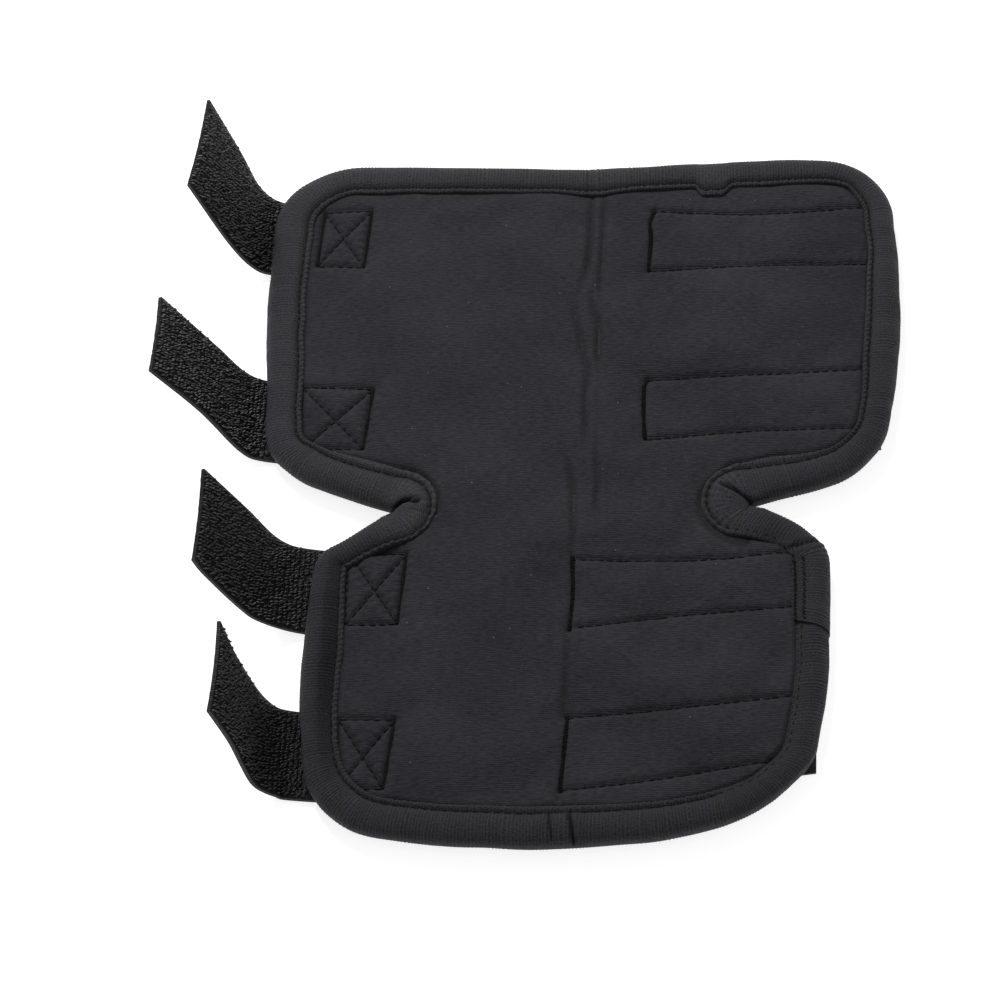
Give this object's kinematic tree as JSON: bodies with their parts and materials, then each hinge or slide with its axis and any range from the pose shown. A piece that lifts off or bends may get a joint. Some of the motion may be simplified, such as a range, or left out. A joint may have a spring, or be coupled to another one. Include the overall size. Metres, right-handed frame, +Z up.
{
  "type": "wrap-around leg guard",
  "caption": "Padded wrap-around leg guard laid open, lining up, with notched sides, a bound edge, hook straps and loop pads that close it round a leg.",
  "frame": {"origin": "centre of the bounding box on the surface that the guard lies on", "axes": "+X across the guard from the strap side to the loop pad side, +Y from its narrow end to its wide end along the fold lines, +Z up out of the lining"},
  "size_m": [0.224, 0.2494, 0.0483],
  "materials": {
    "lining_knit": "fine knit jersey, charcoal, matt",
    "foam_core": "closed-cell foam rubber, black, matt",
    "outer_cover": "smooth knit jersey, black, matt",
    "binding_tape": "ribbed woven tape, charcoal",
    "thread": "polyester sewing thread, black",
    "hook_tape": "nylon hook tape, black, slight sheen",
    "loop_tape": "nylon loop tape, black, napped"
  },
  "bodies": {
    "right_centre": {"lining_right_centre": "lining_knit", "foam_right_centre": "foam_core", "cover_right_centre": "outer_cover", "binding_right_top": "binding_tape", "binding_right_bottom": "binding_tape", "binding_thread_right_top": "thread", "binding_thread_right_bottom": "thread", "loop_pad_1_centre": "loop_tape", "loop_pad_2_centre": "loop_tape", "loop_pad_3_centre": "loop_tape", "loop_pad_4_centre": "loop_tape", "pad_stitch_1_centre": "thread", "pad_stitch_2_centre": "thread", "pad_stitch_3_centre": "thread", "pad_stitch_4_centre": "thread"},
    "left_centre": {"lining_left_centre": "lining_knit", "foam_left_centre": "foam_core", "cover_left_centre": "outer_cover", "binding_left_top": "binding_tape", "binding_left_bottom": "binding_tape", "binding_thread_left_top": "thread", "binding_thread_left_bottom": "thread"},
    "left_wing": {"lining_left_wing": "lining_knit", "foam_left_wing": "foam_core", "cover_left_wing": "outer_cover", "binding_left_wing": "binding_tape", "binding_thread_left_wing": "thread", "strap_tab_1": "hook_tape", "strap_tab_2": "hook_tape", "strap_tab_3": "hook_tape", "strap_tab_4": "hook_tape", "strap_stitch_1": "thread", "strap_stitch_2": "thread", "strap_stitch_3": "thread", "strap_stitch_4": "thread"},
    "right_wing": {"lining_right_wing": "lining_knit", "foam_right_wing": "foam_core", "cover_right_wing": "outer_cover", "binding_right_wing": "binding_tape", "binding_thread_right_wing": "thread", "loop_pad_1_wing": "loop_tape", "loop_pad_2_wing": "loop_tape", "loop_pad_3_wing": "loop_tape", "loop_pad_4_wing": "loop_tape", "pad_stitch_1_wing": "thread", "pad_stitch_2_wing": "thread", "pad_stitch_3_wing": "thread", "pad_stitch_4_wing": "thread"},
    "strap_1_free": {"strap_1": "hook_tape"},
    "strap_2_free": {"strap_2": "hook_tape"},
    "strap_3_free": {"strap_3": "hook_tape"},
    "strap_4_free": {"strap_4": "hook_tape"}
  },
  "joints": [
    {"name": "centre_fold", "type": "hinge", "parent": "right_centre", "child": "left_centre", "pos_m": [0.01436, -0.00068, 0.0092], "axis": [0, 1, 0], "range_deg": [0, 80], "stiffness_Nm_per_rad": 0.05},
    {"name": "left_fold", "type": "hinge", "parent": "left_centre", "child": "left_wing", "pos_m": [-0.02464, -0.00068, 0.0092], "axis": [0, 1, 0], "range_deg": [0, 65], "stiffness_Nm_per_rad": 0.05},
    {"name": "right_fold", "type": "hinge", "parent": "right_centre", "child": "right_wing", "pos_m": [0.05336, -0.00068, 0.0092], "axis": [0, -1, 0], "range_deg": [0, 65], "stiffness_Nm_per_rad": 0.05},
    {"name": "strap_1_bend", "type": "hinge", "parent": "left_wing", "child": "strap_1_free", "pos_m": [-0.08714, 0.09932, 0.00075], "axis": [0, -1, 0], "range_deg": [-65, 60], "stiffness_Nm_per_rad": 0.015},
    {"name": "strap_2_bend", "type": "hinge", "parent": "left_wing", "child": "strap_2_free", "pos_m": [-0.08414, 0.02782, 0.00075], "axis": [0, -1, 0], "range_deg": [-65, 60], "stiffness_Nm_per_rad": 0.015},
    {"name": "strap_3_bend", "type": "hinge", "parent": "left_wing", "child": "strap_3_free", "pos_m": [-0.06464, -0.03548, 0.00075], "axis": [0, -1, 0], "range_deg": [-65, 60], "stiffness_Nm_per_rad": 0.015},
    {"name": "strap_4_bend", "type": "hinge", "parent": "left_wing", "child": "strap_4_free", "pos_m": [-0.06464, -0.09168, 0.00075], "axis": [0, -1, 0], "range_deg": [-65, 60], "stiffness_Nm_per_rad": 0.015}
  ]
}
